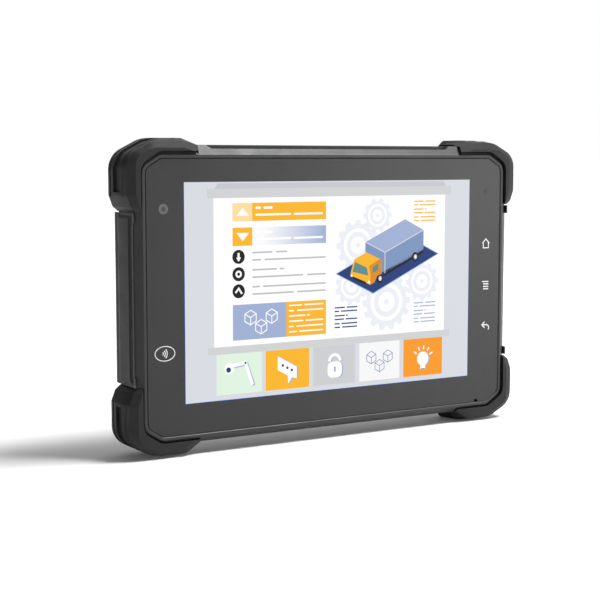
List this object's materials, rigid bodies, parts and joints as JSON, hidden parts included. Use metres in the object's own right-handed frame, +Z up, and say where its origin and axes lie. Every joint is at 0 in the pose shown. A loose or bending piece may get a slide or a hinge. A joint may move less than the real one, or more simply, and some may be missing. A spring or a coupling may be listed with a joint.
{
  "type": "data collector",
  "caption": "Rugged handheld data collector tablet with glass front, corner bumpers, hinged port door, screwed expansion cover and top keys.",
  "frame": {"origin": "middle of the footprint, under the bottom bumpers, with the tablet standing upright", "axes": "+X to the right seen from the front, -Y out of the screen, +Z up"},
  "size_m": [0.2064, 0.03, 0.1354],
  "materials": {
    "bezel": "fine moulded texture",
    "housing": "fine moulded texture",
    "glass": "polished, dark printed border",
    "display": "lit screen picture",
    "bumper": "matt moulded rubber",
    "seal": "black soft rubber",
    "steel": "satin",
    "chassis": "cast, bead blasted",
    "board": "solder mask",
    "battery": "shrink wrap",
    "copper": "bare copper",
    "brass": "turned brass",
    "ceramic": "fired ceramic"
  },
  "bodies": {
    "case": {"front_bezel": "bezel", "cover_glass": "glass", "glass_gasket": "seal", "display_module": "display", "housing_seal": "seal", "mid_chassis": "chassis", "rear_housing": "housing", "bumper_top_left": "bumper", "bumper_bottom_left": "bumper", "bumper_top_right": "bumper", "bumper_bottom_right": "bumper", "port_door_pin": "steel", "expansion_cover": "bumper", "expansion_cover_seal": "seal", "expansion_cover_screw_1": "steel", "expansion_cover_screw_2": "steel", "usb_port": "steel", "audio_jack": "steel", "memory_card_socket": "steel", "sim_card_socket": "steel", "port_board": "board", "sim_board": "board", "key_board": "board", "main_board": "board", "processor_shield": "steel", "heat_spreader": "copper", "modem_shield": "steel", "battery_pack": "battery", "front_camera": "seal", "contactless_antenna": "copper", "soft_key_sensor": "board", "status_light_board": "board", "front_microphone": "steel", "loudspeaker": "seal", "speaker_mesh": "steel", "gnss_antenna": "ceramic", "cellular_antenna": "copper", "wireless_antenna": "copper", "pressure_vent": "seal", "dock_connector": "seal", "mount_insert_1": "brass", "mount_insert_2": "brass", "mount_insert_3": "brass", "mount_insert_4": "brass", "rear_screw_1": "steel", "rear_screw_2": "steel", "rear_screw_3": "steel", "rear_screw_4": "steel", "rear_screw_5": "steel", "rear_screw_6": "steel", "rear_screw_7": "steel", "rear_screw_8": "steel"},
    "port_door": {"port_door": "bumper", "port_door_seal": "seal"},
    "function_key": {"function_key": "bumper"},
    "volume_down_key": {"volume_down_key": "bumper"},
    "volume_up_key": {"volume_up_key": "bumper"},
    "power_key": {"power_key": "bumper"}
  },
  "joints": [
    {"name": "port_door_hinge", "type": "hinge", "parent": "case", "child": "port_door", "pos_m": [-0.0968, 0.00765, 0.0678], "axis": [0, 0, -1], "range_deg": [0, 110]},
    {"name": "function_key_press", "type": "slide", "parent": "case", "child": "function_key", "axis": [0, 0, -1], "range_m": [0, 0.0006], "stiffness_N_per_m": 1500},
    {"name": "volume_down_key_press", "type": "slide", "parent": "case", "child": "volume_down_key", "axis": [0, 0, -1], "range_m": [0, 0.0006], "stiffness_N_per_m": 1500},
    {"name": "volume_up_key_press", "type": "slide", "parent": "case", "child": "volume_up_key", "axis": [0, 0, -1], "range_m": [0, 0.0006], "stiffness_N_per_m": 1500},
    {"name": "power_key_press", "type": "slide", "parent": "case", "child": "power_key", "axis": [0, 0, -1], "range_m": [0, 0.0006], "stiffness_N_per_m": 1500}
  ]
}
